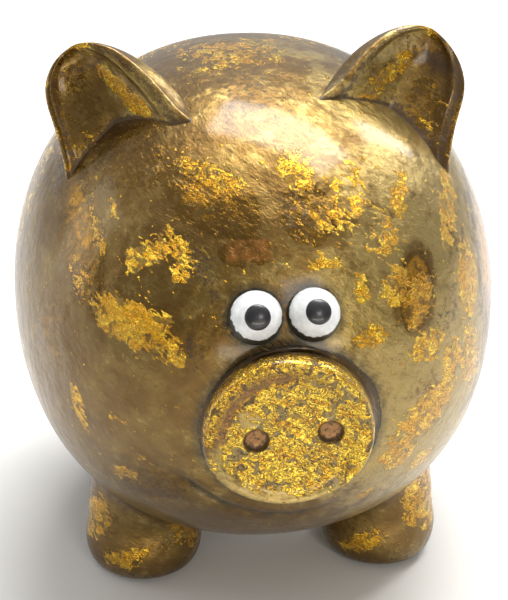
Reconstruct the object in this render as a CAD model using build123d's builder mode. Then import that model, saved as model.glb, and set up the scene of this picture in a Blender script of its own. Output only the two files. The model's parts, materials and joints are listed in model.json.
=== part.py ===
"""A standing pig money bank of slip-cast ceramic, built from the pieces that are luted, glued or pushed together.

Millimetres, +Z up. The pig faces -Y and its own left side is at +X. The origin is on the floor, under the middle
of the whole bank. The body is an ellipsoid of revolution about a level axis along Y.
"""
import math
import os

from build123d import *

os.makedirs("parts", exist_ok=True)

# Body
BODY_RADIUS = 60.5
BODY_HALF_LENGTH = 72.0
WALL = 4.5
BODY_Z = 70.0

# Snout: a level face in front of the middle of the body, on a drum that spreads downwards to its root
SNOUT_REACH = 80.5
SNOUT_FACE_REACH = 79.2
SNOUT_RIM_REACH = 78.5
SNOUT_ROOT_REACH = 58.5
SNOUT_ROOT_R = 20.1
SNOUT_ROOT_DROP = 5.9
SNOUT_RIM_R = 18.6
SNOUT_CREST_R = 17.2
SNOUT_FACE_R = 15.8
SNOUT_CORE_R = 6.0
SNOUT_CORE_REACH = 75.0
NOSTRIL_R = 2.6
NOSTRIL_DEPTH = 2.4
NOSTRIL_X = 7.8
NOSTRIL_SHIFT = 1.0
NOSTRIL_TILT = 4.8

# Tail, a coil of clay on the rump
TAIL_WIRE_R = 2.4
TAIL_COIL_R = 5.2
TAIL_TURNS = 1.3
TAIL_PITCH = 4.6
TAIL_START = 70.6
TAIL_RISE = 5.0
TAIL_REACH = TAIL_START + TAIL_TURNS * TAIL_PITCH + TAIL_WIRE_R

# The body is set back or forward so that the origin is midway between snout and tail
BODY_Y = (SNOUT_REACH - TAIL_REACH) / 2

# Legs and the felt pads under them
FELT = 1.2
FELT_R = 7.5
LEG_X = 31.0
LEG_SHIFT = 1.0
LEG_FRONT_Y = -20.5
LEG_REAR_Y = 21.0
LEG_SOLE_R = 12.6
LEG_FOOT_R = 15.0
LEG_FOOT_H = 6.5
LEG_WAIST_R = 14.6
LEG_WAIST_H = 16.0
LEG_THIGH_R = 16.5
LEG_TOP_Z = 43.0
LEG_CORE_R = 7.0
LEG_CORE_FLOOR = 8.0
VENT_R = 2.5

# Eyes: two balls side by side above the snout, each with a drop of black enamel
EYE_R = 5.7
EYE_PROUD = 1.8
EYE_X = 6.1
EYE_Z = 22.6
PUPIL_R = 2.5
PUPIL_PROUD = 0.35
EYE_GAZE = {"right": (-1.0, 25.0), "left": (5.0, 26.5)}

# Ears: two feet and a tip each, measured from the middle of the body, and the leaf form they share
EARS = {
    "right": ((-14.7, -32.3, 52.4), (-44.1, -27.0, 35.2), (-41.7, -15.0, 66.6)),
    "left": ((12.6, -28.5, 54.9), (42.2, -31.0, 34.3), (41.3, -15.0, 68.2)),
}
EAR_BOW = 1.6
EAR_ROUND = 1.7
EAR_ROOT = 9.0
EAR_RIM = 2.4
EAR_BACK_SECTIONS = ((0.0, 1.0), (3.5, 0.96), (7.0, 0.78), (9.5, 0.48))
EAR_DISH_SECTIONS = ((0.0, 1.0), (2.5, 0.85), (5.5, 0.5))

# Coin slot, along the spine behind the crown
SLOT_LENGTH = 34.0
SLOT_WIDTH = 5.0
SLOT_ANGLE = 33.0

# Belly hole and its soft stopper
HOLE_R = 16.0
SEAT_R = 19.4
SEAT_Z = 13.0
BOSS_R = 21.0
BOSS_LOW_Z = 13.4
BOSS_TOP_Z = 17.5
STOPPER_CLEARANCE = 0.1
FLANGE_R = 18.6
FLANGE = 2.0
NECK_TOP_Z = 23.5
NECK_WALL = 2.0
NECK_LEAD = 0.8
TAB_WIDTH = 14.0
TAB_THICKNESS = 3.2
TAB_LOW_Z = 5.0

body_centre = Vector(0, BODY_Y, BODY_Z)
body_axis = Axis((0, BODY_Y, BODY_Z), (0, 1, 0))
body_plane = Plane(origin=body_centre, x_dir=(1, 0, 0), z_dir=(0, 0, 1))


def half_ellipse(radius, half_length):
    """Draw the +X half of an ellipse, ready to turn about the body's axis."""
    Ellipse(radius, half_length)
    with Locations((-radius, 0)):
        Rectangle(2 * radius, 2.2 * half_length, mode=Mode.SUBTRACT)


def skin_point(x, z):
    """The point of the body's outer skin, on the front half, at x and z from its middle."""
    reach = math.sqrt(1 - (x * x + z * z) / BODY_RADIUS**2)
    return Vector(x, -BODY_HALF_LENGTH * reach, z)


def skin_normal(point):
    """The outward direction of the skin at a point measured from the middle of the body."""
    return Vector(
        point.X / BODY_RADIUS**2, point.Y / BODY_HALF_LENGTH**2, point.Z / BODY_RADIUS**2
    ).normalized()


def finish(piece, name):
    """Label a finished piece and write it to its own STEP file."""
    piece.part.label = name
    export_step(piece.part, f"parts/{name}.step")


# The body's solid outer form, which trims whatever is luted onto it
with BuildPart() as envelope:
    with BuildSketch(body_plane):
        half_ellipse(BODY_RADIUS, BODY_HALF_LENGTH)
    revolve(axis=body_axis)

# Body shell, with the coin slot, the stopper's seat and hole, and a vent behind every cored piece
leg_places = {
    "front_left": (LEG_SHIFT + LEG_X, BODY_Y + LEG_FRONT_Y),
    "front_right": (LEG_SHIFT - LEG_X, BODY_Y + LEG_FRONT_Y),
    "rear_left": (LEG_SHIFT + LEG_X, BODY_Y + LEG_REAR_Y),
    "rear_right": (LEG_SHIFT - LEG_X, BODY_Y + LEG_REAR_Y),
}
slot_turn = math.radians(SLOT_ANGLE)
slot_point = Vector(0, BODY_HALF_LENGTH * math.sin(slot_turn), BODY_RADIUS * math.cos(slot_turn))
slot_plane = Plane(origin=body_centre + slot_point, x_dir=(1, 0, 0), z_dir=skin_normal(slot_point))
stopper_plane = Plane(origin=(0, BODY_Y, 0))

with BuildPart() as body_shell:
    with BuildSketch(body_plane):
        half_ellipse(BODY_RADIUS, BODY_HALF_LENGTH)
    revolve(axis=body_axis)
    with BuildSketch(body_plane):
        half_ellipse(BODY_RADIUS - WALL, BODY_HALF_LENGTH - WALL)
    revolve(axis=body_axis, mode=Mode.SUBTRACT)
    with BuildSketch(stopper_plane.offset(BOSS_LOW_Z)):
        Circle(BOSS_R)
    extrude(amount=BOSS_TOP_Z - BOSS_LOW_Z)
    with BuildSketch(stopper_plane):
        Circle(SEAT_R)
    extrude(amount=SEAT_Z, mode=Mode.SUBTRACT)
    with BuildSketch(stopper_plane):
        Circle(HOLE_R)
    extrude(amount=BOSS_TOP_Z + WALL, mode=Mode.SUBTRACT)
    with BuildSketch(slot_plane):
        SlotOverall(SLOT_LENGTH, SLOT_WIDTH, rotation=90)
    extrude(amount=2 * WALL, both=True, mode=Mode.SUBTRACT)
    with BuildSketch(Plane.XY):
        with Locations(*leg_places.values()):
            Circle(VENT_R)
    extrude(amount=BODY_Z - BODY_RADIUS / 3, mode=Mode.SUBTRACT)
    with BuildSketch(Plane(origin=body_centre, x_dir=(1, 0, 0), z_dir=(0, -1, 0))):
        Circle(VENT_R)
    extrude(amount=BODY_HALF_LENGTH + WALL, mode=Mode.SUBTRACT)
finish(body_shell, "body_shell")

# Snout: a short drum with a raised, rounded rim, a flat face, two pits and a core behind
front_plane = Plane(origin=body_centre, x_dir=(1, 0, 0), z_dir=(0, -1, 0))
nostril_plane = Plane(
    origin=body_centre + Vector(NOSTRIL_SHIFT, -SNOUT_FACE_REACH, 0), x_dir=(1, 0, 0), z_dir=(0, 1, 0)
)
with BuildPart() as snout:
    with BuildSketch(front_plane.offset(SNOUT_ROOT_REACH)):
        with Locations((0, -SNOUT_ROOT_DROP)):
            Circle(SNOUT_ROOT_R)
    with BuildSketch(front_plane.offset(SNOUT_RIM_REACH)):
        Circle(SNOUT_RIM_R)
    loft()
    with BuildSketch(body_plane):
        with BuildLine():
            Polyline((0, -SNOUT_RIM_REACH), (SNOUT_RIM_R, -SNOUT_RIM_REACH))
            ThreePointArc(
                (SNOUT_RIM_R, -SNOUT_RIM_REACH),
                (SNOUT_RIM_R - 0.35, -SNOUT_REACH + 0.55),
                (SNOUT_CREST_R, -SNOUT_REACH),
            )
            Polyline(
                (SNOUT_CREST_R, -SNOUT_REACH),
                (SNOUT_FACE_R, -SNOUT_FACE_REACH),
                (0, -SNOUT_FACE_REACH),
                (0, -SNOUT_RIM_REACH),
            )
        make_face()
    revolve(axis=body_axis)
    with BuildSketch(nostril_plane):
        with Locations(Rotation(0, 0, NOSTRIL_TILT)):
            with Locations((-NOSTRIL_X, 0), (NOSTRIL_X, 0)):
                Circle(NOSTRIL_R)
    extrude(amount=NOSTRIL_DEPTH, mode=Mode.SUBTRACT)
    with BuildSketch(front_plane):
        Circle(SNOUT_CORE_R)
    extrude(amount=SNOUT_CORE_REACH, mode=Mode.SUBTRACT)
    add(envelope.part, mode=Mode.SUBTRACT)
finish(snout, "snout")

# Legs: stubby turned forms with a rounded foot, trimmed by the body and cored from above
for name, (leg_x, leg_y) in leg_places.items():
    leg_axis = Axis((leg_x, leg_y, 0), (0, 0, 1))
    with BuildPart() as leg:
        with BuildSketch(Plane(origin=(leg_x, leg_y, 0), x_dir=(1, 0, 0), z_dir=(0, -1, 0))):
            with BuildLine():
                Line((0, FELT), (LEG_SOLE_R, FELT))
                Spline(
                    (LEG_SOLE_R, FELT),
                    (LEG_FOOT_R, FELT + LEG_FOOT_H),
                    (LEG_WAIST_R, FELT + LEG_WAIST_H),
                    (LEG_THIGH_R, LEG_TOP_Z),
                    tangents=((1, 0.3), (0.2, 1)),
                )
                Line((LEG_THIGH_R, LEG_TOP_Z), (0, LEG_TOP_Z))
                Line((0, LEG_TOP_Z), (0, FELT))
            make_face()
        revolve(axis=leg_axis)
        with BuildSketch(Plane.XY.offset(LEG_CORE_FLOOR)):
            with Locations((leg_x, leg_y)):
                Circle(LEG_CORE_R)
        extrude(amount=LEG_TOP_Z, mode=Mode.SUBTRACT)
        add(envelope.part, mode=Mode.SUBTRACT)
    finish(leg, f"leg_{name}")

    with BuildPart() as foot_pad:
        with BuildSketch(Plane.XY):
            with Locations((leg_x, leg_y)):
                Circle(FELT_R)
        extrude(amount=FELT)
    finish(foot_pad, f"foot_pad_{name}")

# Ears: leaf-shaped shells with a dish in front and a rounded back, leaning outwards
def leaf_half_width(rise, span, height):
    """Half the ear's width at a height above its feet: the curve narrows slowly, then rounds over at the tip."""
    return span / 2 * (1 - (rise / height) ** EAR_BOW) ** (1 / EAR_ROUND)


def leaf_edge(span, height, lean, scale):
    """Points round the ear's edge, from one foot over the tip to the other, shrunk towards the middle of its foot."""
    rises = [height * share for share in (0.0, 0.35, 0.65, 0.88)]
    one_side = [(leaf_half_width(v, span, height) + lean * v / height, v) for v in rises]
    other_side = [(-leaf_half_width(v, span, height) + lean * v / height, v) for v in rises]
    return [(scale * u, scale * v) for u, v in one_side + [(lean, height)] + other_side[::-1]]


for side, corners in EARS.items():
    inner, outer, tip = (body_centre + Vector(*corner) for corner in corners)
    across = outer - inner
    facing = across.cross(tip - inner).normalized()
    if facing.Y > 0:
        facing = -facing
    rightwards = across if across.X > 0 else -across
    ear_plane = Plane(origin=(inner + outer) / 2, x_dir=rightwards, z_dir=facing)
    local_tip = ear_plane.to_local_coords(tip)
    span = across.length
    with BuildPart() as ear:
        for sections, rim, mode in (
            (EAR_BACK_SECTIONS, 0, Mode.ADD),
            (EAR_DISH_SECTIONS, EAR_RIM, Mode.SUBTRACT),
        ):
            for depth, scale in sections:
                edge = leaf_edge(span - 2 * rim, local_tip.Y - rim, local_tip.X, scale)
                with BuildSketch(ear_plane.offset(-depth)):
                    with BuildLine():
                        Spline(*edge)
                        Polyline(edge[-1], (edge[-1][0], -EAR_ROOT), (edge[0][0], -EAR_ROOT), edge[0])
                    make_face()
            loft(mode=mode)
        add(envelope.part, mode=Mode.SUBTRACT)
    finish(ear, f"ear_{side}")

# Eyes and pupils
for side, (turn, lift) in EYE_GAZE.items():
    sign = 1 if side == "left" else -1
    seat = skin_point(sign * EYE_X, EYE_Z)
    eye_centre = body_centre + seat + skin_normal(seat) * EYE_PROUD
    gaze = Vector(0, -1, 0).rotate(Axis.X, -lift).rotate(Axis.Z, turn)
    with BuildPart() as eye:
        with Locations(eye_centre):
            Sphere(EYE_R)
        add(envelope.part, mode=Mode.SUBTRACT)
    finish(eye, f"eye_{side}")

    with BuildPart() as pupil:
        with BuildSketch(Plane(origin=eye_centre, z_dir=gaze)):
            Circle(PUPIL_R)
        extrude(amount=2 * EYE_R)
        with Locations(eye_centre):
            Sphere(EYE_R + PUPIL_PROUD, mode=Mode.INTERSECT)
            Sphere(EYE_R, mode=Mode.SUBTRACT)
    finish(pupil, f"pupil_{side}")

# Tail: a coil that starts in the rump and winds outwards
with BuildPart() as tail:
    with BuildLine() as tail_line:
        Helix(
            pitch=TAIL_PITCH,
            height=TAIL_TURNS * TAIL_PITCH,
            radius=TAIL_COIL_R,
            center=body_centre + Vector(0, TAIL_START, TAIL_RISE),
            direction=(0, 1, 0),
        )
    with BuildSketch(Plane(origin=tail_line.line @ 0, z_dir=tail_line.line % 0)):
        Circle(TAIL_WIRE_R)
    sweep(is_frenet=True)
    add(envelope.part, mode=Mode.SUBTRACT)
finish(tail, "tail")

# Belly stopper: a flange in the seat, a hollow neck in the hole and a tab to pull
with BuildPart() as belly_stopper:
    with BuildSketch(stopper_plane.offset(SEAT_Z - FLANGE)):
        Circle(FLANGE_R)
    extrude(amount=FLANGE)
    with BuildSketch(stopper_plane.offset(SEAT_Z)):
        Circle(HOLE_R - STOPPER_CLEARANCE)
    extrude(amount=NECK_TOP_Z - SEAT_Z)
    chamfer(belly_stopper.edges().group_by(Axis.Z)[-1], NECK_LEAD)
    with BuildSketch(stopper_plane.offset(SEAT_Z)):
        Circle(HOLE_R - STOPPER_CLEARANCE - NECK_WALL)
    extrude(amount=NECK_TOP_Z, mode=Mode.SUBTRACT)
    with BuildSketch(stopper_plane.offset(SEAT_Z)):
        Rectangle(2 * (HOLE_R - NECK_WALL), NECK_WALL)
        Rectangle(NECK_WALL, 2 * (HOLE_R - NECK_WALL))
    extrude(amount=(NECK_TOP_Z - SEAT_Z) / 2)
    with BuildSketch(stopper_plane.offset(TAB_LOW_Z)):
        RectangleRounded(TAB_WIDTH, TAB_THICKNESS, TAB_THICKNESS / 2 - 0.1)
    extrude(amount=SEAT_Z - FLANGE - TAB_LOW_Z)
finish(belly_stopper, "belly_stopper")
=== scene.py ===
# %% [markdown]
# # A gold-leafed ceramic pig bank
# This lesson dresses a finished CAD model of a pig money bank. The CAD model says how large every piece is
# and where it sits. Here each piece gets the surface that a potter's hands and a gilder's brush would leave
# on it. The real bank is slip-cast clay with ears, snout, legs and eyes stuck on while it was wet. After
# firing it was painted a dull champagne colour, gilded with thin imitation leaf that broke as it was laid,
# rubbed with brown in its hollows, and varnished. We start by loading the model. Blender counts in metres,
# and so does the frame that the model comes in.

# %% Load the frame
import json
import math

import bpy
import numpy as np
from mathutils import Matrix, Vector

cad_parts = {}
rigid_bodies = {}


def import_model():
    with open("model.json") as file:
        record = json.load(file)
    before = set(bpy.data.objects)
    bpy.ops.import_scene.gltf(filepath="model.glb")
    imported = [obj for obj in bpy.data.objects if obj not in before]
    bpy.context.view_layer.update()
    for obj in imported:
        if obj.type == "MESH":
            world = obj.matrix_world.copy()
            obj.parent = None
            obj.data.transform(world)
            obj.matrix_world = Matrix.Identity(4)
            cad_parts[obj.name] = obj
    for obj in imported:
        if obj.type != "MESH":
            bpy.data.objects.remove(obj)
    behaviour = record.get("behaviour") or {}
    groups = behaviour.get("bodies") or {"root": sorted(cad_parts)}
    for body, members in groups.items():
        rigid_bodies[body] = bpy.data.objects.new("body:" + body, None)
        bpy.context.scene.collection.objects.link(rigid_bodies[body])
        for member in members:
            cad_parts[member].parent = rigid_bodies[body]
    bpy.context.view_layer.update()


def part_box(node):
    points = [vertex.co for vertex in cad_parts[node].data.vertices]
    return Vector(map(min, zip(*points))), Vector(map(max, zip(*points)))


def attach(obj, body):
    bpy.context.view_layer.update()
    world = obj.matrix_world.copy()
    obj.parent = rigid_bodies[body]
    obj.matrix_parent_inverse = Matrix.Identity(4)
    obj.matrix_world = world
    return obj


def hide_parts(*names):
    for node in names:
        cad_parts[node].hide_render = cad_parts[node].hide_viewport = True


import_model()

# %% [markdown]
# ## Where the body is
# Everything on the pig is placed from the middle of its round body, so we read that point from the frame.
# Shapes are easier to think about in millimetres, so every formula below counts millimetres from the middle
# of the body, and one helper turns them into metres when the mesh is made.

# %% The middle of the body
MM = 0.001


def span(node):
    """Lowest and highest corner of a CAD node, in millimetres from the middle of the body."""
    low, high = (np.array(corner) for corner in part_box(node))
    return (low - middle) / MM, (high - middle) / MM


shell_low, shell_high = (np.array(corner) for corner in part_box("body_shell"))
body_radius = (shell_high[0] - shell_low[0]) / 2
middle = np.array(
    [
        (shell_high[0] + shell_low[0]) / 2,
        (shell_high[1] + shell_low[1]) / 2,
        shell_high[2] - body_radius,
    ]
)
floor_z = -middle[2] / MM
print("middle of the body, metres:", middle.round(4), " floor:", round(floor_z, 2), "mm below it")

# %% [markdown]
# ## The camera and the light
# The camera looks down at the pig's face from a little to its right. A long lens keeps the snout from
# swelling, and the small shift frames the pig a little above the middle of the picture. Gold shows what
# stands round it more than its own colour, so the light matters as much as the paint. One wide soft panel
# hangs over the pig, a tall narrow one stands high behind its left shoulder, and a cool one stands at its
# right. Two weak panels in front lift the shadows of the face and the legs, and the sky is dim in front and
# bright behind.

# %% Camera
CAMERA_TURN = math.radians(-5.85)
CAMERA_LIFT = math.radians(25.0)
CAMERA_DISTANCE = 0.36
LENS = 83.5
SENSOR = 36.0
SHIFT = (0.0063, -0.0392)


def aim(thing, eye, target):
    """Put a camera or a light at a point and turn its own -Z axis towards the target."""
    back = (np.array(eye, float) - target) / np.linalg.norm(np.array(eye, float) - target)
    right = np.cross([0.0, 0.0, 1.0], back)
    right = right / np.linalg.norm(right)
    up = np.cross(back, right)
    matrix = np.eye(4)
    matrix[:3, 0], matrix[:3, 1], matrix[:3, 2], matrix[:3, 3] = right, up, back, eye
    thing.matrix_world = Matrix(matrix.tolist())


camera_back = np.array(
    [
        math.sin(CAMERA_TURN) * math.cos(CAMERA_LIFT),
        -math.cos(CAMERA_TURN) * math.cos(CAMERA_LIFT),
        math.sin(CAMERA_LIFT),
    ]
)
camera_data = bpy.data.cameras.new("camera")
camera_data.lens = LENS
camera_data.sensor_width = SENSOR
camera_data.shift_x, camera_data.shift_y = SHIFT
camera_data.clip_start = 0.01
camera = bpy.data.objects.new("camera", camera_data)
bpy.context.scene.collection.objects.link(camera)
aim(camera, middle + CAMERA_DISTANCE * camera_back, middle)
bpy.context.scene.camera = camera
print("camera at", [round(v, 3) for v in camera.matrix_world.translation])

# %% Lights and floor


def softbox(name, eye, size, power, colour):
    """A rectangular area light that faces the middle of the body."""
    light = bpy.data.lights.new(name, "AREA")
    light.shape = "RECTANGLE"
    light.size, light.size_y = size
    light.energy = power
    light.color = colour
    holder = bpy.data.objects.new(name, light)
    bpy.context.scene.collection.objects.link(holder)
    aim(holder, eye, middle)


softbox("overhead", (0.16, 0.24, 0.93), (0.70, 0.30), 12.5, (1.0, 0.99, 0.97))
softbox("window", (0.62, 0.46, 0.62), (0.16, 0.34), 2.6, (1.0, 1.0, 0.98))
softbox("cool_side", (-0.95, 0.25, 0.35), (0.4, 0.7), 1.8, (0.9, 0.95, 1.0))
softbox("front_fill", (0.35, -1.2, 0.75), (0.4, 0.3), 3.5, (1.0, 0.97, 0.93))
softbox("low_fill", (0.1, -1.2, 0.10), (1.2, 0.14), 5.5, (1.0, 0.94, 0.82))

world = bpy.data.worlds.new("studio")
world.use_nodes = True
bpy.context.scene.world = world
bpy.context.scene.view_settings.view_transform = "Standard"


FLOOR_R = 8.0


def turns(count):
    """Angles once round, evenly spaced, without the last one that would repeat the first."""
    return np.linspace(0, math.tau, count, endpoint=False)


def disc(radius, corners):
    """A flat disc at floor height: one face with points (r cos t, r sin t, 0)."""
    turn = turns(corners)
    rim = np.stack([radius * np.cos(turn), radius * np.sin(turn), np.zeros(corners)], -1)
    mesh = bpy.data.meshes.new("floor")
    mesh.from_pydata(rim.tolist(), [], [list(range(corners))])
    return mesh


floor = bpy.data.objects.new("floor", disc(FLOOR_R, 96))
bpy.context.scene.collection.objects.link(floor)
print("lights:", len(bpy.data.lights), " floor radius, metres:", FLOOR_R)

# %% [markdown]
# ## A shorthand for shader maths
# A finish is a sum of masks: leaf here, brown there, a crack between. Written with Blender's nodes by hand,
# each plus sign is a box and a wire. The class below wraps one output socket, so that an expression such as
# `leaf * (1 - crack)` adds its own Math nodes. Colours and vectors go through Mix and Vector Math nodes,
# because a Math node would turn a colour grey.

# %% Socket arithmetic


class Wire:
    """One output socket. Adding, multiplying or comparing wires adds Math nodes to their tree."""

    def __init__(self, tree, socket):
        self.tree = tree
        self.socket = socket

    def math(self, operation, *values):
        node = self.tree.nodes.new("ShaderNodeMath")
        node.operation = operation
        for socket, value in zip(node.inputs, values):
            plug(self.tree, socket, value)
        return Wire(self.tree, node.outputs[0])

    def __add__(self, other):
        return self.math("ADD", self, other)

    __radd__ = __add__

    def __sub__(self, other):
        return self.math("SUBTRACT", self, other)

    def __rsub__(self, other):
        return self.math("SUBTRACT", other, self)

    def __mul__(self, other):
        return self.math("MULTIPLY", self, other)

    __rmul__ = __mul__

    def __abs__(self):
        return self.math("ABSOLUTE", self)

    def at_least(self, other):
        return self.math("MAXIMUM", self, other)


def plug(tree, socket, value):
    """Link a wire to a socket, or set a constant on the socket itself."""
    if isinstance(value, Wire):
        tree.links.new(value.socket, socket)
    else:
        socket.default_value = value


# %% A finish under construction


class Finish:
    """A material under construction, with one method that adds any node."""

    def __init__(self, name, tree=None):
        if tree is None:
            self.material = bpy.data.materials.new(name)
            self.material.use_nodes = True
            tree = self.material.node_tree
        self.tree = tree
        self.tree.nodes.clear()

    def node(self, kind, out=0, settings=None, **sockets):
        """Add a node: its settings first, then its sockets, named with _ for a space."""
        node = self.tree.nodes.new("ShaderNode" + kind)
        for key, value in (settings or {}).items():
            setattr(node, key, value)
        enabled = {s.name: s for s in reversed(node.inputs) if s.enabled}
        for key, value in sockets.items():
            plug(self.tree, enabled[key.replace("_", " ")], value)
        if isinstance(out, str):
            return Wire(self.tree, next(s for s in node.outputs if s.name == out and s.enabled))
        return Wire(self.tree, node.outputs[out]) if len(node.outputs) else None

    def millimetres(self):
        """Object coordinates, counted in millimetres."""
        place = self.node("TexCoord", out="Object")
        return self.node("VectorMath", settings={"operation": "SCALE"}, Vector=place, Scale=1 / MM)

    def field(self, name):
        """A number stored on the mesh's points."""
        return self.node("Attribute", out="Fac", settings={"attribute_name": name})

    def noise(self, vector, size, detail=3.0, roughness=0.55, distortion=0.0):
        """Cloudy noise from 0 to 1 whose blobs are about `size` millimetres across."""
        return self.node(
            "TexNoise",
            Vector=vector,
            Scale=1 / size,
            Detail=detail,
            Roughness=roughness,
            Distortion=distortion,
        )

    def ramp(self, value, low, high):
        """0 below low, 1 above high, and a smooth step between."""
        return self.node(
            "MapRange",
            settings={"interpolation_type": "SMOOTHSTEP"},
            Value=value,
            From_Min=low,
            From_Max=high,
        )

    def blend(self, factor, first, second):
        """The first colour where the factor is 0, the second where it is 1."""
        kind = {"data_type": "RGBA"}
        return self.node("Mix", out="Result", settings=kind, Factor=factor, A=first, B=second)

    def dent(self, height, strength, previous=None):
        """A bump from a height in millimetres."""
        links = {"Height": height, "Strength": strength, "Distance": MM}
        if previous is not None:
            links["Normal"] = previous
        return self.node("Bump", out="Normal", **links)

    def surface(self, **sockets):
        """The closing shader, wired to the material's output."""
        shader = self.node("BsdfPrincipled", **sockets)
        self.node("OutputMaterial", Surface=shader)
        return self.material


def rgb(red, green, blue):
    """A colour with full alpha, in linear light."""
    return (red, green, blue, 1.0)


# %% Paint the sky and the floor
sky = Finish("studio", world.node_tree)
way = sky.node("TexCoord", out="Generated")
height = sky.node("SeparateXYZ", out="Z", Vector=way)
depth = sky.node("SeparateXYZ", out="Y", Vector=way)
openness = sky.ramp(height * 0.8 + depth * 0.7, -0.75, 0.95)
sky_light = sky.blend(openness, rgb(0.10, 0.085, 0.07), rgb(0.95, 0.95, 0.95))
background = sky.node("Background", Color=sky_light, Strength=0.70)
sky.node("OutputWorld", Surface=background)

ground = Finish("pale_floor")
cloud = ground.noise(ground.millimetres(), 260.0, detail=2.0)
floor.data.materials.append(
    ground.surface(
        Base_Color=ground.blend(cloud, rgb(0.74, 0.74, 0.73), rgb(0.80, 0.80, 0.79)),
        Roughness=0.55 + cloud * 0.1,
    )
)
print("sky and floor painted")

# %% [markdown]
# ## From rings to a mesh
# Every piece of this pig is a stack of closed rings: an ear is rings that shrink to its tip, a leg is rings
# that climb from its sole. The rings come out of a formula as one array of shape (rings, points, 3). The
# helper below joins neighbours with quads, closes each end with a fan, or joins the last ring to the first
# when the stack bends back on itself. It adds up the volume to see which way the faces point, and turns
# them outwards.

# %% Mesh helpers
pieces = {}


def ring_faces(rings, points, wrap, first_vertex=0):
    """Quads between neighbouring rings; the last ring joins the first one when wrap is true."""
    index = np.arange(rings * points).reshape(rings, points) + first_vertex
    near, far = (index, np.roll(index, -1, 0)) if wrap else (index[:-1], index[1:])
    return np.stack([near, np.roll(near, -1, 1), np.roll(far, -1, 1), far], -1).reshape(-1, 4)


def fan_faces(ring, centre):
    """Triangles from a ring of vertex numbers to one centre vertex."""
    return np.stack([ring, np.roll(ring, -1), np.full(len(ring), centre)], -1)


def stack(rings, wrap=False):
    """Vertices, quads and triangles of one closed stack of rings, with faces outwards."""
    rows, points, _ = rings.shape
    vertices = rings.reshape(-1, 3)
    quads = ring_faces(rows, points, wrap)
    triangles = np.zeros((0, 3), int)
    if not wrap:
        first, last = rings[0].mean(0), rings[-1].mean(0)
        base = rows * points
        vertices = np.vstack([vertices, first, last])
        start = fan_faces(np.arange(points)[::-1], base)
        end = fan_faces(np.arange(base - points, base), base + 1)
        triangles = np.vstack([start, end])
    corner = vertices[np.vstack([quads[:, [0, 1, 2]], quads[:, [0, 2, 3]], triangles])]
    volume = np.einsum("ij,ij->i", corner[:, 0], np.cross(corner[:, 1], corner[:, 2])).sum() / 6
    if volume < 0:
        quads, triangles = quads[:, ::-1], triangles[:, ::-1]
    return vertices, quads, triangles, abs(volume)


def make_piece(name, stacks, body, nodes, fields=None):
    """One object from one or more closed stacks of rings, in millimetres from the middle of the body."""
    vertices, faces, start, volume = [], [], 0, 0.0
    for rings, wrap in stacks:
        points, quads, triangles, inside = stack(rings, wrap)
        vertices.append(points)
        faces += (quads + start).tolist() + (triangles + start).tolist()
        start += len(points)
        volume += inside
    vertices = np.vstack(vertices)
    mesh = bpy.data.meshes.new(name)
    mesh.from_pydata((vertices * MM + middle).tolist(), [], faces)
    mesh.shade_smooth()
    for field, values in (fields or {}).items():
        attribute = mesh.attributes.new(field, "FLOAT", "POINT")
        attribute.data.foreach_set("value", np.asarray(values(vertices), np.float32))
    piece = bpy.data.objects.new(name, mesh)
    bpy.context.scene.collection.objects.link(piece)
    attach(piece, body)
    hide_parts(*nodes)
    pieces[name] = piece
    print(f"{name}: {len(vertices)} points, {len(faces)} faces, {volume / 1000:.1f} cubic cm")
    return piece


# %% Curves that shapes share


def ease(value, low=0.0, high=1.0):
    """0 below low, 1 above high, and the smooth cubic 3t2 - 2t3 between."""
    share = np.clip((value - low) / (high - low), 0, 1)
    return share * share * (3 - 2 * share)


def hump(distance, width):
    """A bell of height 1 whose value falls to about a third one width away."""
    return np.exp(-((distance / width) ** 2))


def unit(vectors):
    """The same directions, one long."""
    return vectors / np.linalg.norm(vectors, axis=-1, keepdims=True)


def bezier(start, pull_start, pull_end, end, steps):
    """Rings along a cubic curve from one ring to another, leaving and arriving along the two pulls."""
    share = np.linspace(0, 1, steps)[:, None, None]
    left = 1 - share
    return (
        left**3 * start
        + 3 * left**2 * share * (start + pull_start)
        + 3 * left * share**2 * (end - pull_end)
        + share**3 * end
    )


# %% [markdown]
# ## The skin of the body
# The body is an egg lying on its side, but no hand-finished mould is a perfect ellipsoid. Its formula is a
# superellipsoid: the sum of |x/a|^n, |y/b|^n and |z/c|^n is 1, and n a little over 2 fills out the
# shoulders. Four soft swellings over the legs make hips, and a curved groove under the snout is the smile.
# The function gives the distance from the middle to the skin in any direction, and every other piece uses
# it to find where it is stuck on.

# %% The skin's formula
HALF = np.array([60.0, 72.0, 60.8])
LOW_HALF = 60.0
SQUARENESS = 2.12
HIPS = [(-40, -30, -38), (42, -30, -36), (-40, 28, -36), (42, 28, -36)]
HIP_HEIGHT = 0.9
HIP_WIDTH = 0.42

SMILE_X = 3.0
SMILE_Z = -30.2
SMILE_CURVE = 0.0196
SMILE_ENDS = (-21.5, 15.0)


def smile_gap(points):
    """Height above the smile's curve z = low + curve (x - x0)^2, measured square to the curve."""
    x, z = points[..., 0], points[..., 2]
    lift = z - (SMILE_Z + SMILE_CURVE * (x - SMILE_X) ** 2)
    return lift / np.sqrt(1 + (2 * SMILE_CURVE * (x - SMILE_X)) ** 2)


def smile_strength(points):
    """1 along the mouth, fading at both ends and behind the face."""
    x, y = points[..., 0], points[..., 1]
    left, right = SMILE_ENDS
    return ease(x, left - 0.6, left + 1.4) * (1 - ease(x, right - 9, right)) * (y < -30)


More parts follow.
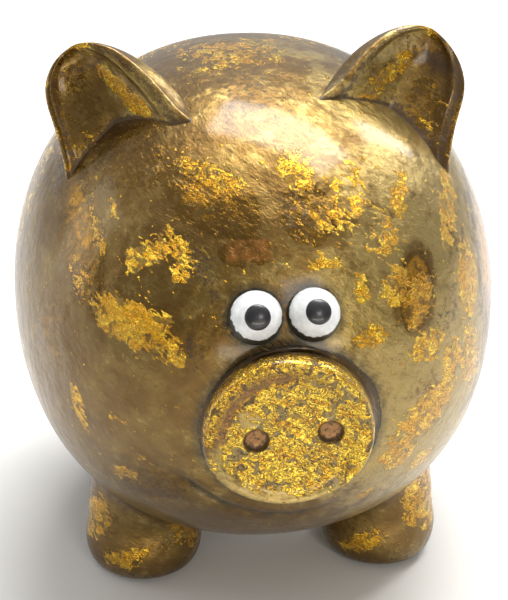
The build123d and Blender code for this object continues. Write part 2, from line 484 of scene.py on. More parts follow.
def skin_distance(way):
    """How far the outer skin is from the middle, along unit directions."""
    low = np.array([1, 1, LOW_HALF / HALF[2]])
    half = np.where(way[..., 2:] < 0, HALF * low, HALF)
    plain = (np.abs(way / half) ** SQUARENESS).sum(-1) ** (-1 / SQUARENESS)
    hips = [unit(np.array(hip, float)) for hip in HIPS]
    swelling = sum(HIP_HEIGHT * hump(np.linalg.norm(way - hip, axis=-1), HIP_WIDTH) for hip in hips)
    place = way * plain[..., None]
    gap, strength = smile_gap(place), smile_strength(place)
    corner = 1 + 0.9 * hump(place[..., 0] - SMILE_ENDS[0] - 3.0, 4.0)
    groove = strength * (0.62 * corner * hump(gap, 1.25) - 0.5 * hump(gap - 3.0, 2.0))
    return plain + swelling - groove


# %% Reaching the skin
DOWN = np.array([0.0, 0.0, -1.0])
FORWARD = np.array([0.0, -1.0, 0.0])
FARTHEST = 120.0
HALVINGS = 30


def reach_skin(start, way):
    """Walk from points inside along one direction until they meet the skin, halving the step each time."""
    near = np.zeros(start.shape[:-1])
    gone = np.full(start.shape[:-1], FARTHEST)
    for _ in range(HALVINGS):
        half = (near + gone) / 2
        place = start + way * half[..., None]
        size = np.linalg.norm(place, axis=-1)
        inside = size < skin_distance(place / size[..., None])
        near, gone = np.where(inside, half, near), np.where(inside, gone, half)
    return start + way * near[..., None]


def height_over_skin(points):
    """How far points stand out from the body's skin, in millimetres."""
    size = np.linalg.norm(points, axis=-1)
    return size - skin_distance(points / size[..., None])


def sink(points, depth):
    """The same points, moved straight towards the middle of the body."""
    return unit(points) * (np.linalg.norm(points, axis=-1) - depth)[:, None]


print("skin half sizes:", skin_distance(np.eye(3)).round(2))

# %% [markdown]
# ## The body
# The real body is one hollow shell with a coin slot behind the crown and a round hole in the belly. A
# hollow shell with two holes is a doughnut to a mesh: rings can start at the slot, spread over the outside,
# pass down through the belly hole and return along the inside. The first rings are stretched like the slot,
# and they relax into circles as they spread. Their axis leans from the slot towards straight down on the
# way. Rings crowd together near the mouth, and their points crowd towards the face, where the eye looks for
# detail.

# %% Body rings
AROUND = 300
FACE_CROWDING = 0.42
SLOT_LENGTH, SLOT_WIDTH = 34.0, 5.0
SLOT_BACK, SLOT_UP = 39.2, 50.7
SLOT_LEAN = math.atan2(SLOT_BACK, SLOT_UP)
SLOT_TILT = math.radians(28.6)
SLOT_RELAX = 26.0
RING_SCALE = 61.0
WALL = 4.5
HOLE_R, SEAT_R = 16.0, 19.4
BOSS_R = 21.0
SEAT_HEIGHT = 8.0
BOSS_HEIGHT = 4.5
LAST_REACH = 167.0
MOUTH_REACH = 122.0
seat_z = span("belly_stopper")[0][2] + SEAT_HEIGHT
boss_z = seat_z + BOSS_HEIGHT


def ring_way(reach, turn):
    """Unit directions of the ring `reach` mm from the slot's edge.

    In the plane square to the ring's axis, a point lies at across = w sin t and
    along = l tanh(3 cos t) + w cos t, where w = half width + reach and l shrinks to 0 as the ring relaxes.
    Its distance over 61 mm is the angle from the axis, and the axis leans back by an angle that eases to 0
    at the belly.
    """
    wide = SLOT_WIDTH / 2 + reach
    long = (SLOT_LENGTH - SLOT_WIDTH) / 2 * (1 - ease(reach, 0, SLOT_RELAX))
    across = wide * np.sin(turn)
    along = long * np.tanh(3 * np.cos(turn)) + wide * np.cos(turn)
    length = np.hypot(across, along)
    angle = length / RING_SCALE
    lean = SLOT_LEAN * (1 - ease(reach, 0, LAST_REACH))
    out = np.sin(angle) * along / length
    up = np.cos(angle)
    return np.stack(
        [
            np.sin(angle) * across / length,
            up * np.sin(lean) + out * np.cos(lean),
            up * np.cos(lean) - out * np.sin(lean),
        ],
        -1,
    )


def spread(first, last, spacing):
    """Numbers from first to last whose gaps follow a spacing function."""
    fine = np.linspace(first, last, 4000)
    count = np.concatenate([[0], np.cumsum(np.diff(fine) / spacing((fine[1:] + fine[:-1]) / 2))])
    return np.interp(np.linspace(0, count[-1], int(round(count[-1])) + 1), count, fine)


def ring_gap(reach):
    """Room between rings: fine at the slot's edge and near the mouth, 1.25 mm elsewhere."""
    return 1.25 - 0.95 * np.exp(-reach / 2.0) - 0.80 * hump(reach - MOUTH_REACH, 9.0)


def body_rings():
    """Rings over the outside, through the belly hole, back along the inside and out through the slot."""
    turn = turns(AROUND)
    turn = turn + FACE_CROWDING * np.sin(turn)

    def on_skin(reach):
        way = ring_way(reach, turn)
        return way * skin_distance(way)[..., None]

    outside = on_skin(spread(0.9, LAST_REACH, ring_gap)[:, None])
    inward = np.array([0, -math.sin(SLOT_TILT), -math.cos(SLOT_TILT)])
    depths = np.array([3.4, 2.2, 1.2, 0.8, 0.45, 0.18])[:, None, None]
    grow = np.array([0, 0, 0, 0, 0.12, 0.42])[:, None]
    lip = on_skin(grow) + inward * depths
    under = on_skin(np.zeros((1, 1))) + inward * WALL
    under = unit(under) * (skin_distance(unit(under)) - WALL)[..., None]

    def circle(radius, z):
        return np.stack([radius * np.sin(turn), radius * np.cos(turn), np.full(AROUND, z)], -1)

    def dropped(radius, lift):
        ring = circle(radius, 0.0)
        return reach_skin(ring, DOWN) + [0, 0, lift]

    rim = [dropped(SEAT_R + 0.9, 0.0), dropped(SEAT_R + 0.4, 0.1), dropped(SEAT_R + 0.1, 0.35)]
    seat = [(SEAT_R, seat_z - 0.3), (SEAT_R, seat_z), (SEAT_R - 0.3, seat_z), (HOLE_R + 0.4, seat_z)]
    hole = [(HOLE_R + 0.1, seat_z + 0.1), (HOLE_R, seat_z + 0.4), (HOLE_R, boss_z - 0.3)]
    boss = [(HOLE_R + 0.3, boss_z), (BOSS_R - 1, boss_z), (BOSS_R + 0.6, boss_z)]
    belly = rim + [circle(radius, z) for radius, z in seat + hole + boss]

    way = ring_way(np.linspace(LAST_REACH - 5, 3.0, 40)[:, None], turn)
    inside = way * (skin_distance(way) - WALL)[..., None]
    return np.concatenate([under, lip, outside, np.stack(belly), inside])


rings = body_rings()
print("rings on the body:", len(rings), " widest:", np.abs(rings).max((0, 1)).round(2))

# %% [markdown]
# ## What the gilder and the hands did
# Leaf, bare ground, brown rubbed into hollows: these follow the shape and the maker's hand, not chance
# alone. Each piece therefore carries four numbers on every point. `leaf` says how readily gold leaf stuck
# there, `amber` where varnish lies thick and dark, `hollow` how much brown was left behind when the rest
# was wiped off, and `rub` how far the surface was worn through to the red-brown below. In some places these
# numbers also paint light: painted shade on the lower body, behind the snout's rim, round the nostrils and
# in an ear's hollow, and painted glare and highlights on the snout and the ear rims. The leaf on the body
# was laid in loose scraps, so it is a list of scraps. The body also carries its distance from the snout,
# the mouth and the eyes, so that grey-dark lines can be drawn along those creases: painted shade, with some
# dirt in the joints. A plain distance changes evenly from point to point, so the shader can draw a sharp
# line from it.

# %% Scraps, pools and speckles
# Each scrap: middle (x, z), half width and half height, turn in degrees, squareness of outline, solidity
BODY_SCRAPS = [
    # right cheek: a large torn sheet, a bright chip above it and loose flakes round them
    ((-31, 18), (8.4, 5.0), -6, 3.0, 0.96),
    ((-24, 14), (4.5, 4.0), -20, 1.6, 0.66),
    ((-29, 31), (3.4, 2.0), 30, 4.0, 1.0),
    ((-22, 34), (6.0, 3.4), -18, 2.0, 0.66),
    ((-21, 29), (2.4, 1.6), 0, 2.0, 0.8),
    ((-38, 33), (1.3, 5.0), 12, 2.0, 0.66),
    ((-34, 38), (1.0, 2.2), 5, 2.0, 0.66),
    ((-42, 22), (2.6, 6.0), 20, 2.0, 0.5),
    ((-44, -6), (1.8, 7.0), 10, 2.0, 0.74),
    ((-36, -5), (2.0, 2.4), 0, 1.5, 0.62),
    ((-34, -21), (4.0, 2.4), 40, 1.4, 0.85),
    ((-30, -14), (5.0, 1.2), -30, 2.0, 0.55),
    # brow: a deep amber sheet, a marbled one beside it, and a chip over the eyes
    ((-13, 46), (8.0, 2.0), -14, 3.0, 0.80),
    ((-7, 34), (5.6, 2.6), 4, 5.0, 0.30),
    ((5, 47), (4.5, 3.6), -30, 2.0, 0.86),
    ((9, 40), (8.5, 6.5), -20, 2.0, 0.44),
    ((17, 42), (6.5, 7.0), 10, 2.0, 0.52),
    ((23, 35), (5.0, 5.0), 20, 2.0, 0.62),
    ((28, 40), (2.6, 5.0), -20, 2.0, 0.66),
    ((9, 31), (4.6, 1.1), 4, 3.0, 0.84),
    # left cheek and flank
    ((17, 26), (2.2, 4.0), 20, 1.6, 0.72),
    ((25, 24), (3.8, 4.4), 10, 2.0, 0.80),
    ((19, 16), (4.4, 2.6), -10, 2.0, 0.78),
    ((31, 20), (3.8, 6.5), -8, 2.0, 0.74),
    ((33, 10), (4.8, 4.8), 20, 1.6, 0.82),
    ((41, 33), (3.0, 8.0), -14, 2.0, 0.74),
    ((45, 18), (3.2, 10.0), 4, 2.0, 0.78),
    ((40, 4), (3.4, 5.4), 16, 1.5, 0.84),
    ((46, 0), (3.6, 9.0), 12, 2.0, 0.74),
    ((33, -7), (9.5, 5.4), 40, 3.0, 0.90),
    ((27, -16), (5.6, 4.6), 30, 2.0, 0.84),
    ((20, -27), (3.0, 2.0), 30, 2.0, 0.62),
    ((34, -22), (4.5, 3.0), 30, 2.0, 0.72),
]
# Deep amber varnish: middle, half size, turn, and depth of colour
AMBER_POOLS = [
    ((-13, 42), (11.0, 6.0), -14, 1.0),
    ((-7, 34), (7.0, 3.0), 4, 0.75),
    ((-30, 47), (9.0, 6.0), 20, 0.6),
    ((-42, 30), (5.0, 14.0), 10, 0.8),
    ((-48, 6), (5.0, 12.0), 0, 0.7),
    ((-28, -22), (9.0, 5.0), 20, 0.6),
    ((30, 22), (5.0, 9.0), 0, 1.35),
    ((53, 22), (4.0, 18.0), 0, 1.2),
    ((7, 40), (8.0, 6.0), -20, 0.85),
    ((0, -44), (26.0, 5.0), 0, 0.6),
]
# Clusters of dark speckles: the same four
SPECKLES = [
    ((-19, 15), (2.8, 6.0), 0, 0.66),
    ((-16, 31), (3.2, 5.0), 20, 0.66),
    ((-14, 26), (1.8, 3.5), 0, 0.6),
    ((-40, 20), (3.0, 6.0), 20, 0.5),
    ((4, 40), (6.0, 5.0), -20, 0.55),
    ((37, 14), (4.0, 3.0), 0, 0.6),
    ((-4, 60), (14.0, 8.0), -20, 0.5),
    ((-24, -24), (8.0, 2.0), -20, 0.6),
]
print(len(BODY_SCRAPS), "scraps,", len(AMBER_POOLS), "pools,", len(SPECKLES), "clusters of speckles")

# %% Where the snout and the eyes meet the face
ROOT_MIDDLE = (1.6, -3.6)
ROOT_R = 19.7
FACE_Y = -38.0
FAR = 30.0
EYE_R = 5.7
GAZE = {"right": (-1.0, 27.5), "left": (5.0, 33.0)}
EYE_SHIFT = {"right": (0.5, 0.0, -1.0), "left": (0.0, 0.0, -0.9)}


def eye_middle(side):
    """The ball's middle, from the CAD box of the eye: its sides and its top belong to the whole ball."""
    low, high = span(f"eye_{side}")
    whole = np.array([(low[0] + high[0]) / 2, low[1] + EYE_R, high[2] - EYE_R])
    return whole + EYE_SHIFT[side]


def snout_gap(points):
    """Signed distance from the circle where the snout meets the face, and far away behind it."""
    distance = np.hypot(points[:, 0] - ROOT_MIDDLE[0], points[:, 2] - ROOT_MIDDLE[1]) - ROOT_R
    return distance + FAR * (points[:, 1] > FACE_Y)


def eye_gap(points):
    """Signed distance from the nearer eyeball, for the dark line in the joint: painted shade, with some dirt.
    """
    nearer = np.minimum.reduce([np.linalg.norm(points - eye_middle(side), axis=-1) for side in GAZE])
    return nearer - EYE_R - 0.2


def mouth_gap(points):
    """Distance from the smile's curve, growing where the smile fades out."""
    return np.hypot(smile_gap(points), FAR * (1 - smile_strength(points)))


print("eye middles:", [eye_middle(side).round(1).tolist() for side in GAZE])

# %% The body's own leaf, amber, brown and wear


def patch_distance(points, middle_xz, half_size, turn, squareness=2.0):
    """(|a/w|^n + |b/h|^n)^(1/n), with a and b along the turned scrap: 1 on its outline, less inside."""
    cosine, sine = math.cos(math.radians(turn)), math.sin(math.radians(turn))
    x, z = points[:, 0] - middle_xz[0], points[:, 2] - middle_xz[1]
    along = np.abs((x * cosine + z * sine) / half_size[0])
    across = np.abs((z * cosine - x * sine) / half_size[1])
    return (along**squareness + across**squareness) ** (1 / squareness)


def scrap_field(points):
    """The most solid scrap over each point. A scrap fades from inside its outline to outside it."""
    total = np.zeros(len(points))
    for middle_xz, half_size, turn, squareness, solid in BODY_SCRAPS:
        distance = patch_distance(points, middle_xz, half_size, turn, squareness)
        total = np.maximum(total, solid * (1 - ease(distance, 0.45, 1.5)))
    return total


def drifts(points):
    """Loose drifts from 0 to 1, from sines that run in three directions."""
    x, y, z = points.T
    return 0.5 + 0.5 * np.sin(x / 8.0 + 1.3 * np.sin(z / 11.0)) * np.sin(y / 10.0 + z / 13.0 + 0.7)


def body_leaf(points):
    """Scraps on the face, and loose drifts of leaf round the sides, the crown and the back."""
    behind = 0.8 * drifts(points) * ease(points[:, 1], -32, 0) * ease(points[:, 2], -50, -20)
    return np.maximum(scrap_field(points) * (points[:, 1] < 0), behind)


def body_amber(points):
    """Pools of deep amber on the face and the back; below 0, on the left cheek, the ground is paler."""
    total = np.zeros(len(points))
    for middle_xz, half_size, turn, depth in AMBER_POOLS:
        distance = patch_distance(points, middle_xz, half_size, turn)
        total = np.maximum(total, depth * (1 - ease(distance, 0.5, 1.3)))
    x, y, z = points.T
    pale_cheek = 0.9 * ease(x, 2, 26) * (1 - ease(x, 46, 54)) * (1 - total)
    total = total - pale_cheek + 0.2 * ease(-x, 5, 30)
    behind = ease(np.sin(x / 14.0 + 2.0) * np.sin(z / 12.0 + y / 17.0), -0.1, 0.7)
    return np.where(y < 0, total, 0) + 0.8 * behind * ease(y, -30, 5)


def body_brown_and_low_shade(points):
    """Brown lies in dark speckle clusters on the face; the thin brown over the lower half is painted shade.
    """
    # thin brown over the lower half of the face: painted shade
    total = 0.22 * (1 - ease(points[:, 2], -50, -14))
    for middle_xz, half_size, turn, depth in SPECKLES:
        distance = patch_distance(points, middle_xz, half_size, turn)
        total = np.maximum(total, depth * (1 - ease(distance, 0.2, 1.4)))
    return total * (points[:, 1] < 0)


def body_rub(points):
    """Red-brown clay shows on the lip over the mouth, in one chip of the brow, and down the left flank."""
    x, y, z = points.T
    lip = 0.35 * smile_strength(points) * hump(smile_gap(points) - 2.4, 1.3)
    chip = 0.62 * (1 - ease(patch_distance(points, (-6.5, 34), (5.6, 2.6), 4, 5.0), 0.7, 1.2)) * (y < 0)
    flank = 0.55 * ease(x, 47, 54) * (1 - ease(x, 57, 59.5)) * ease(z, -6, 10)
    return np.clip(lip + chip + flank, 0, 1)


# %% Make the body
make_piece(
    "pig_body",
    [(rings, True)],
    "bank",
    ["body_shell"],
    {
        "leaf": body_leaf,
        "amber": body_amber,
        "hollow": body_brown_and_low_shade,
        "rub": body_rub,
        "snout_gap": snout_gap,
        "mouth_gap": mouth_gap,
        "eye_gap": eye_gap,
    },
)

# %% [markdown]
# ## The snout
# The snout is a short round plug of clay pressed onto the face and smoothed in at its edge. Its front is a
# shallow dish with a rolled rim, and two round pits for nostrils. A polar grid fits it well: rings that
# grow from the middle of the dish, roll over the rim and run back to the skin. The flank is a Bezier curve
# for every angle, so it can leave the rim square and still arrive flat on the body, wherever the body
# happens to be.

# %% Snout rings
SNOUT_POINTS = 240
CREST_R, RIM_R = 16.9, 18.1
SNOUT_TUCK = 0.10
DISH_DEPTH = 1.3
RIM_ROLL = 2.0
NOSTRILS = [(-6.8, -0.7), (8.8, 0.6)]
NOSTRIL_R = 2.6
NOSTRIL_DEPTH = 1.3
crest_y = span("snout")[0][1]


def snout_face(x, z):
    """Depth behind the crest: a shallow dish, a faint hand-made ripple, and two pits with soft lips."""
    radius = np.hypot(x, z)
    depth = DISH_DEPTH * (1 - ease(radius, 12.5, CREST_R)) + 0.35 * hump(radius, 9.0)
    depth = depth + 0.12 * np.sin(x / 3.1 + 1.0) * np.sin(z / 3.7)
    for pit_x, pit_z in NOSTRILS:
        distance = np.hypot(x - pit_x, z - pit_z)
        bowl = np.sqrt(np.maximum(1 - (distance / (NOSTRIL_R * 1.04)) ** 4, 0))
        depth = depth + NOSTRIL_DEPTH * bowl - 0.25 * hump(distance - NOSTRIL_R * 1.25, 0.5)
    return np.maximum(depth, 0)


def snout_rings():
    """The face from its middle out, a quarter-round rim, the flank down to the skin, and an end under it."""
    turn = turns(SNOUT_POINTS)
    cosine, sine = np.cos(turn), np.sin(turn)
    drawn = sine * (1 - SNOUT_TUCK * ease(-sine, 0, 1))
    radius = np.linspace(0.25, CREST_R - 0.5, 62)[:, None]
    x, z = radius * cosine, radius * drawn
    face = np.stack([x, crest_y + snout_face(x, z), z], -1)
    roll = np.linspace(0.18, 1.0, 12)[:, None] * math.pi / 2
    rim_radius = CREST_R + (RIM_R - CREST_R) * np.sin(roll)
    rim_y = crest_y + RIM_ROLL * (1 - np.cos(roll))
    rim = np.stack([rim_radius * cosine, rim_y + 0 * cosine, rim_radius * drawn], -1)
    start_x, start_z = ROOT_MIDDLE[0] + ROOT_R * cosine, ROOT_MIDDLE[1] + ROOT_R * sine
    root = np.stack([start_x, np.zeros_like(turn), start_z], -1)
    root = reach_skin(root, FORWARD)
    inner = np.stack([start_x - 3 * cosine, np.zeros_like(turn), start_z - 3 * sine], -1)
    inner = reach_skin(inner, FORWARD)
    arrive = unit(root - inner)
    flare = (2.2 + 1.4 * (1 - sine) / 2)[:, None]
    leave = np.stack([0.6 * cosine, np.full_like(turn, 4.0), 0.6 * sine], -1)
    flank = bezier(rim[-1], leave, arrive * flare, root, 34)[1:]
    return np.concatenate([face, rim, flank, sink(root, 1.2)[None], sink(inner, 2.5)[None]])


# %% Leaf, amber, brown and wear on the snout


def pit_distance(points):
    """Distance from the nearer nostril's middle, and far away behind the face."""
    x, y, z = points.T
    nearer = np.minimum.reduce([np.hypot(x - px, z - pz) for px, pz in NOSTRILS])
    return nearer + 20 * (y > crest_y + 5)


def rim_shade_arc(points, radius, width):
    """An arc on the upper right of the face, behind the rim, where painted shade goes: a bell across, eased
    out at its ends.
    """
    x, y, z = points.T
    return hump(np.hypot(x, z) - radius, width) * ease(z - 0.9 * x, 8, 14) * (y < crest_y + 3)


def snout_leaf(points):
    """Leaf nearly all over the face and the crest, bare below, and a bare patch by the right nostril. The
    extra leaf on the top of the crest is partly painted highlight.
    """
    x, y, z = points.T
    front = 1 - ease(y, crest_y + 2.2, crest_y + 5.0)
    radius = np.hypot(x, z)
    below = 0.55 * ease(radius, 13.0, 15.5) * (1 - ease(z + 0.35 * x, -10, -4))
    upper = 0.35 * hump(np.hypot(x + 8.0, z - 4.0), 4.5) + 0.30 * hump(np.hypot(x - 5.0, z - 13.0), 3.5)
    gaps = 0.22 * ease(drifts(points * 2.3), 0.55, 0.9)
    # extra leaf on the top of the rim only: partly painted highlight
    crest = 0.55 * ease(z, 6, 14) * ease(radius, 16.5, 18)
    rim = 0.1 * hump(radius - CREST_R, 0.8)
    laid = np.clip(0.80 * front - below - upper - gaps + crest + rim, 0, 1)
    return laid * ease(pit_distance(points), 2.4, 3.0)


def snout_amber_shade_and_glare(points):
    """Amber behind the rim at the upper right of the face is painted shade; amber over the upper flank is
    partly painted glare.
    """
    x, y, z = points.T
    radius = np.hypot(x, z)
    # amber behind the rim at the upper right: painted shade
    arc = ease(radius, 10.5, 13.5) * ease(z - 0.7 * x, 9, 15) * (y < crest_y + 3)
    # amber-gold on the upper flank: partly painted glare
    flank = 0.9 * ease(y, crest_y + 2.0, crest_y + 4) * ease(z - 0.8 * x, 0, 14)
    return np.clip(arc + flank, 0, 1) - 0.9 * (y < crest_y + 3) * (1 - arc)


def snout_brown_and_shade(points):
    """Brown in the joint with the face, under the snout and in the pits; the brown behind the rim and the
    dark ring round each pit are painted shade.
    """
    x, y, z = points.T
    root = 0.9 * hump(height_over_skin(points), 0.8)
    below = 0.45 * (1 - ease(z, -16, -4)) * ease(y, crest_y + 2, crest_y + 5)
    from_pit = pit_distance(points)
    # dark ring round each nostril: painted shade of its rim
    lip = 0.7 * hump(from_pit - NOSTRIL_R * 1.02, 0.25)
    pit = (0.42 + 0.4 * ease(from_pit, NOSTRIL_R * 0.5, NOSTRIL_R)) * (from_pit < NOSTRIL_R)
    # brown behind the rim: painted shade
    return np.clip(root + below + 0.45 * rim_shade_arc(points, 14.2, 2.0) + lip + pit, 0, 1)


def snout_bare_clay_and_shade(points):
    """Bare red-brown clay shows in the nostrils; the red-brown behind the rim is painted shade."""
    pit = 1.6 * (1 - ease(pit_distance(points), NOSTRIL_R * 0.92, NOSTRIL_R))
    # red-brown behind the rim: painted shade
    return np.clip(pit + 0.75 * rim_shade_arc(points, 14.0, 1.6), 0, 1.6)


# %% Make the snout
make_piece(
    "pig_snout",
    [(snout_rings(), False)],
    "bank",
    ["snout"],
    {"leaf": snout_leaf, "amber": snout_amber_shade_and_glare, "hollow": snout_brown_and_shade, "rub": snout_bare_clay_and_shade},
)

# %% [markdown]
# ## The ears
# Each ear is a cone of clay with a rounded back, pressed onto the head. A thumb hollowed its front: two
# cheeks meet in a valley that is deepest at the root and shallower towards the tip, and a soft rim stands
# round them. Cut level with its feet, an ear is a closed curve: the hollowed front on one side and the
# round back on the other. Stacking these curves from the root to the tip gives the whole ear. What would
# run deeper into the head is pressed flat just under the skin, inside the thickness of the wall, where the
# joint hides it.

# %% Ear rings
EAR_POINTS = 240
EAR_STEPS = 130
# Each ear: the inner foot, the outer foot and the tip
EARS = {
    "right": ((-14.7, -34.3, 51.3), (-44.1, -27.0, 35.2), (-41.7, -15.0, 66.6)),
    "left": ((12.6, -28.5, 54.9), (42.2, -31.0, 34.3), (41.3, -15.0, 67.8)),
}
EAR_ROOT = 9.0
EAR_SINK = 2.4
EAR_EDGE = 1.0
EAR_FOOT = 1.3
EAR_WAIST = 2.8
EAR_RIM = 2.6
EAR_BACK = 9.0
EAR_VALLEY = 4.5
EAR_STEP = 0.8
VALLEY_SHARE = -0.08


class EarShape:
    """An ear's own directions, and the formulas of its outline, in millimetres."""

    def __init__(self, side):
        inner, outer, tip = (np.array(corner) for corner in EARS[side])
        facing = unit(np.cross(outer - inner, tip - inner))
        self.facing = facing if facing[1] < 0 else -facing
        self.across = unit((outer - inner) * np.sign((outer - inner)[0]))
        self.up = np.cross(self.facing, self.across)
        self.origin = (inner + outer) / 2
        self.width = np.linalg.norm(outer - inner)
        self.height = (tip - self.origin) @ self.up
        self.lean = (tip - self.origin) @ self.across
        self.outward = -1 if side == "right" else 1

    def part(self, rise):
        """Share of the height: 0 at the feet, 1 at the tip."""
        return np.clip(rise / self.height, 0, 1)

    def half(self, part, x):
        """Half width: w/2 (1 - p^2)^(1/1.9) crownwards, w/2 (1 - p^3.4)^(1/2.3) outwards.

        The foot spreads, and the outer edge is drawn in half way up.
        """
        inner = self.width / 2 * np.maximum(1 - part**2.0, 0) ** (1 / 1.9)
        outer = self.width / 2 * np.maximum(1 - part**3.4, 0) ** (1 / 2.3)
        outwards = x * self.outward > 0
        foot = EAR_FOOT * (1 - ease(part, 0.0, 0.28)) - EAR_WAIST * hump(part - 0.5, 0.4) * outwards
        return np.where(outwards, outer, inner) + foot

    def local(self, points):
        """Share across (-1 to 1, outwards positive), share of the height, and height over the rim's plane."""
        offset = points - self.origin
        part = np.clip(offset @ self.up / self.height, 0, 0.999)
        sideways = offset @ self.across - self.lean * part
        return self.outward * sideways / self.half(part, sideways), part, offset @ self.facing


def ear_rings(side):
    """Closed curves from root to tip.

    With x = cos a across, the front is a rounded edge, a rim 2.6 mm wide, a step and a valley whose cheeks
    are straight near the root and dished near the tip. The back is 9 (1 - p^3)^0.6 (1 - |x|^m)^(1/2) deep,
    where m grows from 2.6 outwards to 4.2 towards the crown, and there it also swells past the rim.
    """
    ear = EarShape(side)
    share = 1 - (1 - np.linspace(0, 1, EAR_STEPS)) ** 2.0
    rise = (-EAR_ROOT + (ear.height - 0.004 + EAR_ROOT) * share)[:, None]
    part = ear.part(rise)
    turn = turns(EAR_POINTS)
    x, front = np.cos(turn), np.sin(turn) >= 0
    half = ear.half(part, x)
    crownwards = ease(-x * ear.outward, -0.1, 0.9)

    rounded = np.sqrt(np.maximum(1 - np.abs(x) ** 10, 0))
    edge = np.minimum(EAR_EDGE, half * 0.5)
    rim_share = np.clip(1 - EAR_RIM / np.maximum(half, 0.1), 0.25, 1)
    inwards = np.clip((rim_share - np.abs(x - VALLEY_SHARE)) / rim_share, 0, 1)
    blend = ease(part, 0.25, 0.85)
    cheek = (1 - blend) * inwards + blend * (1 - (1 - inwards) ** 2)
    roomy = ease(half, 2.5, 9.0)
    valley = EAR_VALLEY * np.sqrt(1 - 0.75 * part) * cheek + EAR_STEP * ease(inwards, 0, 0.16)
    hollowed = -edge * (1 - rounded) - valley * roomy - 0.35 * (1 - crownwards) * ease(np.abs(x), 0.9, 0.6)

    square = 2.6 + 1.6 * crownwards
    thick = EAR_BACK * np.maximum(1 - part**3, 0) ** 0.6 - edge
    thick = thick * np.sqrt(np.maximum(1 - np.abs(x) ** square, 0))
    rounded_back = -edge - np.maximum(thick, 0.4 * edge * rounded)

    middle_swell = np.sin(math.pi * part**0.8) * crownwards * -ear.outward
    inset = -2.0 * middle_swell * ease(np.abs(x), 0.2, 1.0)
    swell = 1.3 * middle_swell * ease(-np.sin(turn), 0.0, 0.5)
    faded = ease(-np.sin(turn), 0.0, 0.6)
    sideways = ear.lean * part + half * x + inset * (1 - faded) + swell
    wave = 0.22 * np.sin(rise / 4.1 + 2.0 * x) + 0.18 * np.sin(rise / 2.3 - 3.1 * x + 1.0)
    depth = np.where(front, hollowed, rounded_back) + wave * ease(part, 0, 0.1) * (1 - ease(part, 0.9, 1.0))
    points = (
        ear.origin
        + sideways[..., None] * ear.across
        + (rise + 0 * x)[..., None] * ear.up
        + depth[..., None] * ear.facing
    )
    way = unit(points)
    under_skin = way * (skin_distance(way) - EAR_SINK)[..., None]
    sunk = height_over_skin(points) < -EAR_SINK
    return np.where(sunk[..., None], under_skin, points)


print("ear heights:", {side: round(float(EarShape(side).height), 1) for side in EARS})

# %% Leaf, amber, brown and wear on the ears


def ear_fields(side):
    """Leaf in one slanting band and on the rim's crest, brown in the hollow and by the rim's step. The leaf
    on the crest is partly painted highlight, and the extra brown over the outer half of the hollow is painted
    shade.
    """
    ear = EarShape(side)
    # the second number is painted shade: brown over the outer half of the hollow, strongest on the left ear
    outer_cheek, outer_hollow_shade = (0.5, 0.42) if side == "left" else (0.45, 0.08)

    def leaf(points):
        x, part, depth = ear.local(points)
        band = hump(x + 0.62 - 0.55 * part, 0.2) * ease(part, 0.10, 0.25) * (1 - ease(part, 0.72, 0.98))
        # leaf along the rim's crest: partly painted highlight
        crest = 0.55 * ease(np.maximum(np.abs(x), part), 0.90, 0.98) * ease(depth, -3.0, -1.0)
        loose = 0.42 * ease(x, 0.1, 0.5) * ease(drifts(points * 2.6), 0.5, 0.9)
        back = 0.75 * drifts(points) * ease(-depth, 4.0, 7.0)
        return np.clip(np.maximum(np.maximum(band * 0.86, crest), np.maximum(loose, back)), 0, 1)

    def amber(points):
        x, part, depth = ear.local(points)
        cheek = outer_cheek * ease(x, -0.15, 0.25) * ease(depth, -7.5, -6.0)
        return np.clip(cheek + 0.35 * ease(np.abs(x), 0.75, 0.9), 0, 1) - 0.5 * ease(-x, 0.0, 0.3)

    def hollow(points):
        x, part, depth = ear.local(points)
        inner_step = 0.70 * hump(x + 0.76, 0.09) * ease(part, 0.02, 0.15)
        outer_step = 0.55 * hump(np.maximum(x, part) - 0.84, 0.07)
        valley = 0.50 * hump(x + 0.05, 0.24) * (1 - ease(part, 0.3, 0.75))
        cup = np.maximum(np.maximum(inner_step, outer_step), valley) * ease(depth, -7.0, -6.0)
        root = 1.1 * hump(height_over_skin(points), 0.7)
        # brown over the outer half of the hollow: painted shade
        return np.clip(cup + root + outer_hollow_shade * ease(x, -0.1, 0.3) * ease(depth, -7.5, -6.0), 0, 1)

    def rub(points):
        x, part, depth = ear.local(points)
        rim = hump(np.maximum(np.abs(x), part) - 0.86, 0.07)
        return 0.42 * rim * ease(depth, -4.0, -2.0)

    return {"leaf": leaf, "amber": amber, "hollow": hollow, "rub": rub}


# %% Make the ears
for side in EARS:
    make_piece(
        f"pig_ear_{side}",
        [(ear_rings(side), False)],
        "bank",
        [f"ear_{side}"],
        ear_fields(side),
    )

# %% [markdown]
# ## The legs
# A leg is a stub of clay, thumbed round at the foot and smeared into the belly at the top. The sole is
# flat, because the bank stands on it. Rings rise from the sole over the rounded foot, and from there each
# angle has its own Bezier curve up to the skin, arriving flat on it. That makes the smeared joint broad
# under the belly and short at the side.

# %% Leg rings
LEG_POINTS = 144
SOLE_R, FOOT_R, WAIST_R = 12.0, 14.9, 13.8
FOOT_HEIGHT = 6.5
WAIST_HEIGHT = 15.0
JOINT_R = 18.4
OUTER_TUCK = 4.4
LEGS = ["front_left", "front_right", "rear_left", "rear_right"]


def leg_middle(name):
    """The middle of the felt pad under a leg."""
    low, high = span(f"foot_pad_{name}")
    return (low[0] + high[0]) / 2, (low[1] + high[1]) / 2, high[2]


